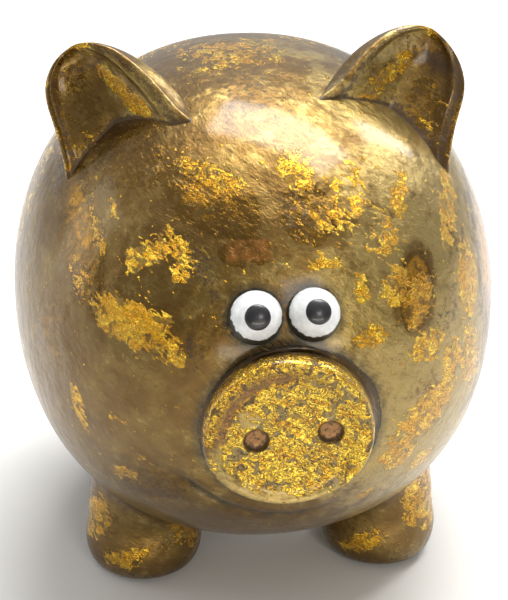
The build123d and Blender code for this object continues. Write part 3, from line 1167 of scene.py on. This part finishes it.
def leg_rings(name):
    """Sole, a foot r = sole + (foot - sole) sin a, a slight waist, then a Bezier curve to the skin."""
    x, y, sole_z = leg_middle(name)
    turn = turns(LEG_POINTS)
    wobble = 1 + 0.012 * np.sin(2 * turn + x) + 0.008 * np.sin(3 * turn + y)
    cosine, sine = np.cos(turn) * wobble, np.sin(turn) * wobble

    def ring(radius, z):
        return np.stack([x + radius * cosine, y + radius * sine, np.full(LEG_POINTS, z)], -1)

    sole = [ring(radius, sole_z) for radius in (0.5, 4, 8, 11, SOLE_R - 0.6, SOLE_R - 0.15)]
    roll = np.linspace(0.06, 1, 14) * math.pi / 2
    foot = [
        ring(SOLE_R + (FOOT_R - SOLE_R) * math.sin(a), sole_z + FOOT_HEIGHT * (1 - math.cos(a))) for a in roll
    ]
    shin = [
        ring(FOOT_R + (WAIST_R - FOOT_R) * float(ease(h, FOOT_HEIGHT, WAIST_HEIGHT)), sole_z + h)
        for h in np.linspace(FOOT_HEIGHT, WAIST_HEIGHT, 12)[1:]
    ]
    start = shin[-1]
    joint = JOINT_R - OUTER_TUCK * ease(cosine * np.sign(x), 0.0, 1.0)
    root = reach_skin(ring(joint, 0.0), DOWN)
    nearer = reach_skin(ring(joint - 1.5, 0.0), DOWN)
    arrive = unit(root - nearer)
    gap = np.linalg.norm(root - start, axis=-1)[:, None]
    flank = bezier(start, np.array([0, 0, 1.0]) * gap * 0.38, arrive * gap * 0.3, root, 40)[1:]
    stub = np.stack(sole + foot + shin)
    return np.concatenate([stub, flank, sink(root, 1.5)[None], sink(nearer, 2.6)[None]])


# %% Leaf, amber, brown and wear on the legs


def leg_fields(name):
    """Leaf in drifts above the sole, and brown round the foot and in the joint with the body."""
    sole_z = leg_middle(name)[2]
    richness = 0.95 if name == "front_left" else 0.70

    def leaf(points):
        above = ease(points[:, 2], sole_z + 1, sole_z + 8)
        return richness * ease(drifts(points * 1.7), 0.35, 0.75) * above

    def amber(points):
        return 0.6 * ease(drifts(points[:, [1, 0, 2]]), 0.4, 0.8)

    def hollow(points):
        root = 0.75 * hump(height_over_skin(points), 1.3)
        foot = 0.4 * (1 - ease(points[:, 2], sole_z, sole_z + 7))
        return np.clip(root + foot + 0.18, 0, 1)

    def rub(points):
        return 0.35 * hump(points[:, 2] - sole_z - 5.0, 3.0)

    return {"leaf": leaf, "amber": amber, "hollow": hollow, "rub": rub}


# %% Make the legs
for name in LEGS:
    make_piece(
        f"pig_leg_{name}",
        [(leg_rings(name), False)],
        "bank",
        [f"leg_{name}"],
        leg_fields(name),
    )

# %% [markdown]
# ## Tubes and turned forms
# The tail is a roll of clay wound a little over one turn, thick at its root and thin at its end. The eyes,
# the pupils, the felt pads and the belly stopper are round about an axis. Two helpers make them: one
# carries a circle along a path, and one turns a profile, given as (radius, height) points, about any axis.

# %% The tail


def tube(path, radii, points=40):
    """A circle carried along a path, square to it: rings p + r (n cos t + b sin t)."""
    along = unit(np.gradient(path, axis=0))
    guide = np.array([0.0, 1.0, 0.0])
    normal = unit(np.cross(along, guide))
    binormal = np.cross(along, normal)
    turn = turns(points)[:, None]
    return path[:, None] + radii[:, None, None] * (
        np.cos(turn) * normal[:, None] + np.sin(turn) * binormal[:, None]
    )


TAIL_TURNS = 1.3
TAIL_STEPS = 150
TAIL_ROOT_Y = 68.5
TAIL_R = 2.4
TAIL_END = 0.955
tail_low, tail_high = span("tail")
tail_coil = (tail_high[0] - tail_low[0]) / 2 - TAIL_R
tail_axis_z = (tail_high[2] + tail_low[2]) / 2


def tail_rings():
    """A helix about a level axis, drawn in by half a millimetre, with a tapering, rounded end."""
    share = np.linspace(0, 1, TAIL_STEPS)
    angle = math.radians(-70) + share * TAIL_TURNS * 2 * math.pi
    coil = tail_coil - 0.5 * share
    y = TAIL_ROOT_Y + (tail_high[1] - TAIL_R * 0.75 - TAIL_ROOT_Y) * share
    path = np.stack([coil * np.cos(angle), y, tail_axis_z + coil * np.sin(angle)], -1)
    beyond = ((share - TAIL_END) / (1 - TAIL_END)).clip(0, 1)
    return tube(path, TAIL_R * (1 - 0.35 * share) * np.sqrt(np.maximum(1 - beyond**2, 1e-3)))


make_piece(
    "pig_tail",
    [(tail_rings(), False)],
    "bank",
    ["tail"],
    {
        "leaf": lambda points: 0.45 + 0.35 * np.sin(points[:, 0] / 2.0 + points[:, 2] / 2.6),
        "amber": lambda points: 0.5 * drifts(points * 2.0),
        "hollow": lambda points: np.clip(hump(height_over_skin(points), 2.0) + 0.2, 0, 1),
        "rub": lambda points: 0.4 * ease(points[:, 1], 76, 79),
    },
)

# %% Eyes and pupils
PUPIL_R = 2.7
PUPIL_PROUD = 0.35


def turned(profile, centre, axis, points=96):
    """A profile of (radius, height) pairs turned about an axis through a centre."""
    axis = unit(np.array(axis, float))
    side = unit(np.cross(axis, [0.0, 0.0, 1.0] if abs(axis[2]) < 0.9 else [1.0, 0.0, 0.0]))
    third = np.cross(axis, side)
    turn = turns(points)[:, None]
    radius, height = np.array(profile, float).T
    circle = np.cos(turn) * side + np.sin(turn) * third
    return centre + radius[:, None, None] * circle + height[:, None, None] * axis


def gaze_way(side):
    """The direction in which an eye looks, from its turn to the side and its lift."""
    turn, lift = (math.radians(angle) for angle in GAZE[side])
    return np.array([math.sin(turn) * math.cos(lift), -math.cos(turn) * math.cos(lift), math.sin(lift)])


def enamel(centre):
    """1 towards the upper front of a ball, falling to -1 behind and below. The white stops where this is
    about a third.
    """
    return lambda points: unit(points - centre) @ unit(np.array([0.0, -0.75, 0.66]))


for side in GAZE:
    centre, way = eye_middle(side), gaze_way(side)
    bend = np.linspace(0.02, math.pi - 0.02, 90)
    ball = turned(np.stack([EYE_R * np.sin(bend), EYE_R * np.cos(bend)], -1), centre, way, 120)
    white = {"enamel": enamel(centre)}
    make_piece(f"pig_eye_{side}", [(ball, False)], "bank", [f"eye_{side}"], white)

    edge = math.asin(PUPIL_R / EYE_R)
    dome = np.linspace(0.01, 1, 26)
    lift = PUPIL_PROUD * np.sqrt(1 - dome**4 * 0.999)
    front = np.stack([(EYE_R + lift) * np.sin(edge * dome), (EYE_R + lift) * np.cos(edge * dome)], -1)
    hidden = np.array([[PUPIL_R * 0.97, (EYE_R - 0.3) * math.cos(edge)], [PUPIL_R * 0.4, EYE_R - 0.6]])
    drop = turned(np.vstack([front, hidden]), centre, way)
    make_piece(f"pig_pupil_{side}", [(drop, False)], "bank", [f"pupil_{side}"])

# %% [markdown]
# ## The belly stopper and the felt
# A soft stopper closes the hole under the belly. It is moulded hollow like a cup, with a flange that lies
# in its seat, a cross of ribs that keeps the cup round, and a tab to pull. Felt discs under the feet keep
# glaze off the table.

# %% Stopper and pads


def slab(half_x, half_y, low_z, high_z, corner, points=64):
    """An upright block with rounded corners and edges: superellipse rings that shrink at both ends."""
    turn = turns(points)
    shape_x = np.sign(np.cos(turn)) * np.abs(np.cos(turn)) ** 0.3
    shape_y = np.sign(np.sin(turn)) * np.abs(np.sin(turn)) ** 0.3
    bend = np.linspace(0, math.pi / 2, 6)
    low = [(low_z + corner * (1 - math.sin(a)), corner * (1 - math.cos(a))) for a in bend[::-1]]
    high = [(high_z - corner * (1 - math.sin(a)), corner * (1 - math.cos(a))) for a in bend]

    def ring(z, inset):
        return np.stack([(half_x - inset) * shape_x, (half_y - inset) * shape_y, np.full(points, z)], -1)

    return np.stack([ring(z, inset) for z, inset in low + high])


stopper_low, stopper_high = span("belly_stopper")
FLANGE_R = 18.6
FLANGE = 2.0
NECK_R = HOLE_R - 0.1
NECK_WALL = 2.0
flange_z = seat_z - FLANGE
profile = [
    (0.3, flange_z),
    (8.0, flange_z),
    (FLANGE_R - 1.2, flange_z),
    (FLANGE_R - 0.7, flange_z + 0.1),
    (FLANGE_R - 0.25, flange_z + 0.4),
    (FLANGE_R, flange_z + 0.9),
    (FLANGE_R, seat_z - 0.3),
    (FLANGE_R - 0.3, seat_z - 0.02),
    (NECK_R + 0.2, seat_z - 0.02),
    (NECK_R, seat_z + 0.2),
    (NECK_R, stopper_high[2] - 1.2),
    (NECK_R - 0.4, stopper_high[2] - 0.3),
    (NECK_R - 0.9, stopper_high[2]),
    (NECK_R - NECK_WALL + 0.3, stopper_high[2]),
    (NECK_R - NECK_WALL, stopper_high[2] - 0.3),
    (NECK_R - NECK_WALL, seat_z + 0.5),
    (NECK_R - NECK_WALL - 0.5, seat_z),
    (0.3, seat_z),
]
rib_top = (seat_z + stopper_high[2]) / 2
make_piece(
    "belly_plug",
    [
        (turned(profile, np.zeros(3), (0, 0, 1), 128), False),
        (slab(NECK_R - NECK_WALL, NECK_WALL / 2, seat_z - 0.5, rib_top, 0.3), False),
        (slab(NECK_WALL / 2, NECK_R - NECK_WALL, seat_z - 0.5, rib_top, 0.3), False),
        (slab(7.0, 1.6, stopper_low[2], flange_z + 0.5, 0.6), False),
    ],
    "stopper",
    ["belly_stopper"],
)

for name in LEGS:
    low, high = span(f"foot_pad_{name}")
    pad_r = (high[0] - low[0]) / 2
    pad_middle = np.array([(low[0] + high[0]) / 2, (low[1] + high[1]) / 2, 0.0])
    pad_profile = [
        (0.4, low[2]),
        (pad_r - 0.5, low[2]),
        (pad_r - 0.12, low[2] + 0.15),
        (pad_r, low[2] + 0.5),
        (pad_r, high[2] - 0.1),
        (pad_r - 0.1, high[2]),
        (0.4, high[2]),
    ]
    make_piece(
        f"felt_pad_{name}",
        [(turned(pad_profile, pad_middle, (0, 0, 1), 64), False)],
        "bank",
        [f"foot_pad_{name}"],
    )

# %% [markdown]
# ## The gilded finish
# From the clay outwards the finish is: dull champagne paint, pools of amber varnish, scraps of imitation
# gold leaf with torn edges and fine cracks, a brown wash that stayed in hollows and flecks, grey-dark lines
# in the creases, which are painted shade with some dirt, and a coat of clear varnish. In places the brown,
# the amber and the leaf also stand for painted shade, glare and highlights, and extra leaf brightens the
# legs as painted light. In the shader each layer is a mask that blends it over the one before. The leaf's
# mask adds the piece's own `leaf` number to noises of several sizes, which run slanting down, and to the
# random shade of Voronoi cells, whose straight borders give the angular tears.

# %% Gold leaf
GROUND_BROWN = rgb(0.140, 0.075, 0.013)
GROUND_OLIVE = rgb(0.190, 0.117, 0.027)
GROUND_PALE = rgb(0.42, 0.31, 0.105)
AMBER = rgb(0.125, 0.062, 0.002)
AMBER_LIGHT = rgb(0.42, 0.20, 0.008)
LEAF_GOLD = rgb(0.90, 0.60, 0.050)
LEAF_ORANGE = rgb(0.66, 0.33, 0.012)
LEAF_PALE = rgb(0.98, 0.76, 0.20)
BROWN_WASH = rgb(0.048, 0.025, 0.008)
BOLE_RED = rgb(0.27, 0.100, 0.014)
# grey-dark colour of the lines along creases: painted shade, with some dirt in the joints
CREASE_SHADE_AND_DIRT = rgb(0.045, 0.042, 0.030)


def gilded(name, coverage=0.0, wash=0.0, crackle=0.8, warmth=0.08, creases=()):
    """A gold-leaf finish.

    Coverage adds leaf, wash adds brown, crackle adds dark lines and holes in the leaf, and warmth adds
    orange. Creases names the distances on the mesh along which grey-dark lines are drawn: painted shade,
    with some dirt in the joints.
    """
    skin = Finish(name)
    place = skin.millimetres()
    leaf, amber, hollow, rub = (skin.field(field) for field in ("leaf", "amber", "hollow", "rub"))

    def slanted(degrees, squeeze):
        return skin.node(
            "Mapping",
            settings={"vector_type": "TEXTURE"},
            Vector=place,
            Rotation=(0.0, math.radians(degrees), 0.0),
            Scale=(1.0, 1.0, 1 / squeeze),
        )

    cloud = skin.noise(place, 15.0, detail=3.0)
    drift = skin.noise(place, 4.5, detail=4.0, distortion=0.5)
    tear = skin.noise(place, 1.3, detail=5.0, roughness=0.62)
    grain = skin.noise(place, 0.4, detail=3.0)
    fall = slanted(32, 2.4)
    crinkle = skin.noise(fall, 1.7, detail=4.0, roughness=0.6, distortion=0.8)
    crease = skin.noise(slanted(-42, 3.0), 3.4, detail=4.0, roughness=0.6, distortion=0.9)
    worm = skin.noise(place, 1.9, detail=1.5, distortion=1.8)
    shard = skin.node("TexVoronoi", out="Color", Vector=fall, Scale=0.30)
    shard = skin.node("SeparateXYZ", out="X", Vector=shard)

    flake = skin.noise(fall, 2.8, detail=2.5, roughness=0.5, distortion=1.0)
    torn = (drift - 0.5) * 0.9 + (flake - 0.5) * 1.1 + (tear - 0.5) * 0.2 + (crinkle - 0.5) * 0.3
    tendency = leaf + coverage + torn + (shard - 0.5) * 0.16
    loose = skin.ramp(flake * 0.45 + tear * 0.45 + (cloud + leaf) * 0.10, 0.606, 0.62)
    solid = skin.ramp(tendency, 0.50, 0.535).at_least(loose)
    split = 1 - skin.ramp(abs(crease - 0.5), 0.004, 0.014)
    hole = skin.ramp(skin.noise(place, 2.6, detail=1.5, distortion=0.8), 0.565, 0.585)
    gold = solid * (1 - (split * 0.6).at_least(hole * crackle))
    cracks = 1 - skin.ramp(abs(worm - 0.43), 0.012, 0.034)
    cracks = cracks.at_least(1 - skin.ramp(abs(worm - 0.56), 0.010, 0.030))
    cracks = cracks * skin.ramp(drift + tear + crackle * 0.5, 1.10, 1.40)
    cracks = cracks.at_least(1 - skin.ramp(abs(crinkle - 0.45), 0.003, 0.016)) * solid

    ground = skin.blend(skin.ramp(cloud * 0.6 + drift * 0.4, 0.40, 0.58), GROUND_BROWN, GROUND_OLIVE)
    pale = skin.ramp(drift * 0.4 + cloud * 0.35 + crinkle * 0.25 - amber * 0.17, 0.50, 0.64)
    ground = skin.blend(pale * 0.7, ground, GROUND_PALE)
    ground = skin.blend(skin.ramp(tear * 0.5 + grain * 0.5, 0.44, 0.66) * 0.4, ground, GROUND_BROWN)
    pool = skin.ramp(amber + torn * 0.7 + (cloud - 0.5) * 0.9, 0.40, 0.50)
    depth = skin.ramp(crease * 0.4 + cloud * 0.6 + (amber - 1) * 0.5, 0.44, 0.62)
    deep = skin.blend(depth, AMBER, AMBER_LIGHT)
    ground = skin.blend(pool * (1 - hole * 0.8) * 0.88, ground, deep)

    folds = skin.ramp(tear * 0.2 + crease * 0.4 + crinkle * 0.4 + (shard - 0.5) * 0.16 - warmth, 0.38, 0.56)
    metal = skin.blend(folds, LEAF_ORANGE, LEAF_GOLD)
    bright = skin.ramp(crinkle * 0.6 + grain * 0.4 - warmth * 0.5, 0.54, 0.68)
    metal = skin.blend(bright * 0.8, metal, LEAF_PALE)
    metal = skin.blend(pool * 0.5, metal, AMBER_LIGHT)
    colour = skin.blend(gold, ground, metal)

    worn = skin.ramp(rub + (tear - 0.5) * 0.7 + (drift - 0.5) * 0.5, 0.36, 0.75)
    colour = skin.blend(worn * 0.8, colour, BOLE_RED)
    speck = skin.ramp(tear * 0.6 + grain * 0.4 + hollow * 0.23, 0.635, 0.665)
    wiped = skin.ramp(hollow + (drift - 0.5) * 0.7 + (tear - 0.5) * 0.8 + wash, 0.55, 1.05)
    brown = wiped.at_least(speck * 0.85).at_least(cracks * crackle * 0.95)
    colour = skin.blend(brown * 0.92, colour, BROWN_WASH)
    # grey-dark lines along the creases: painted shade, with some dirt in the joints
    for field in creases:
        gap = abs(skin.field(field) + (drift - 0.5) * 1.4)
        line = (1 - skin.ramp(gap, 0.15, 0.75)).at_least((1 - skin.ramp(gap, 0.3, 2.6)) * 0.55)
        colour = skin.blend(line * skin.ramp(tear + cloud, 0.72, 0.98), colour, CREASE_SHADE_AND_DIRT)

    shine = gold * (1 - brown) * (1 - worn)
    hand = skin.noise(place, 8.0, detail=2.0)
    normal = skin.dent(hand, 1.0)
    relief = gold * 0.06 - cracks * 0.10 * crackle + crinkle * 0.34 * (solid * 0.4 + 0.6)
    relief = relief + crease * 0.25 * solid + tear * 0.10 + grain * 0.03
    normal = skin.dent(relief, 0.9, normal)
    return skin.surface(
        Base_Color=colour,
        Metallic=(shine * 0.12 + 0.85) * (1 - brown * 0.5) * (1 - worn * 0.5),
        Roughness=0.36 - shine * 0.12 - pool * 0.10 + brown * 0.15 + (tear - 0.5) * 0.16,
        Normal=normal,
        Coat_Weight=0.42,
        Coat_Roughness=0.13,
        Coat_IOR=1.45,
    )


gilded_body = gilded("gold_leaf_over_champagne", creases=("snout_gap", "mouth_gap", "eye_gap"))
gilded_ear = gilded("gold_leaf_on_ears", wash=0.04)
# extra leaf brightens the legs, which stand in shade under the body: painted light; the tail shares this
# finish
leg_gilding_painted_brighter = gilded("gold_leaf_on_legs_painted_brighter", coverage=0.13)
gilded_snout = gilded("gold_leaf_on_snout", coverage=0.10, crackle=1.0, warmth=0.0)
print("nodes in the body's finish:", len(gilded_body.node_tree.nodes))

# %% Enamel, rubber and felt


def eye_enamel():
    """White enamel brushed on the upper front of a ball, with a ragged edge; below and behind it the ball is
    near-black.
    """
    paint = Finish("eye_enamel")
    place = paint.millimetres()
    streak = paint.noise(place, 1.2, detail=4.0)
    speck = paint.noise(place, 0.35, detail=2.0)
    cover = paint.ramp(paint.field("enamel") + (streak - 0.5) * 0.30 + (speck - 0.5) * 0.1, 0.33, 0.38)
    white = paint.blend(paint.ramp(streak, 0.35, 0.7), rgb(0.62, 0.64, 0.66), rgb(0.74, 0.75, 0.75))
    white = paint.blend(paint.ramp(speck, 0.68, 0.74) * 0.5, white, rgb(0.30, 0.28, 0.25))
    # the ball stays near-black below and behind the white
    colour = paint.blend(cover, rgb(0.030, 0.030, 0.020), white)
    return paint.surface(
        Base_Color=colour,
        Roughness=0.42 - cover * 0.16 + speck * 0.1,
        Normal=paint.dent(streak * 0.12 + cover * 0.10, 0.6),
        Coat_Weight=0.3,
        Coat_Roughness=0.12,
    )


def pupil_enamel():
    """Black enamel, hardly streaked."""
    paint = Finish("pupil_enamel")
    place = paint.millimetres()
    streak = paint.noise(place, 0.8, detail=3.0)
    return paint.surface(
        Base_Color=paint.blend(streak, rgb(0.006, 0.006, 0.008), rgb(0.016, 0.014, 0.018)),
        Roughness=0.30 + streak * 0.15,
        Normal=paint.dent(streak * 0.05, 0.4),
        Coat_Weight=0.25,
        Coat_Roughness=0.05,
    )


def milky_rubber():
    """Soft rubber that lets a little light in, with fine pores."""
    rubber = Finish("milky_rubber")
    place = rubber.millimetres()
    cloud = rubber.noise(place, 6.0)
    pore = rubber.noise(place, 0.5, detail=2.0)
    return rubber.surface(
        Base_Color=rubber.blend(cloud, rgb(0.56, 0.54, 0.49), rgb(0.66, 0.64, 0.60)),
        Roughness=0.48 + pore * 0.14,
        Normal=rubber.dent(pore * 0.08, 0.5),
        Subsurface_Weight=0.25,
        Subsurface_Radius=(0.002, 0.0015, 0.001),
    )


def brown_felt():
    """Pressed felt: fibres that catch the light at the edge."""
    felt = Finish("brown_felt")
    place = felt.millimetres()
    fibre = felt.noise(place, 0.22, detail=4.0, roughness=0.7)
    lump = felt.noise(place, 2.0)
    return felt.surface(
        Base_Color=felt.blend(fibre, rgb(0.022, 0.016, 0.012), rgb(0.07, 0.052, 0.040)),
        Roughness=0.92 - lump * 0.06,
        Normal=felt.dent(fibre * 0.25 + lump * 0.1, 0.8),
        Sheen_Weight=0.35,
    )


# %% Put a finish on every piece
finishes = {
    "pig_body": gilded_body,
    "pig_snout": gilded_snout,
    "pig_tail": leg_gilding_painted_brighter,
    "belly_plug": milky_rubber(),
    "pig_ear": gilded_ear,
    "pig_leg": leg_gilding_painted_brighter,
    "pig_eye": eye_enamel(),
    "pig_pupil": pupil_enamel(),
    "felt_pad": brown_felt(),
}
for name, piece in pieces.items():
    piece.data.materials.append(next(finish for kind, finish in finishes.items() if name.startswith(kind)))
print("finishes on", len(pieces), "pieces")
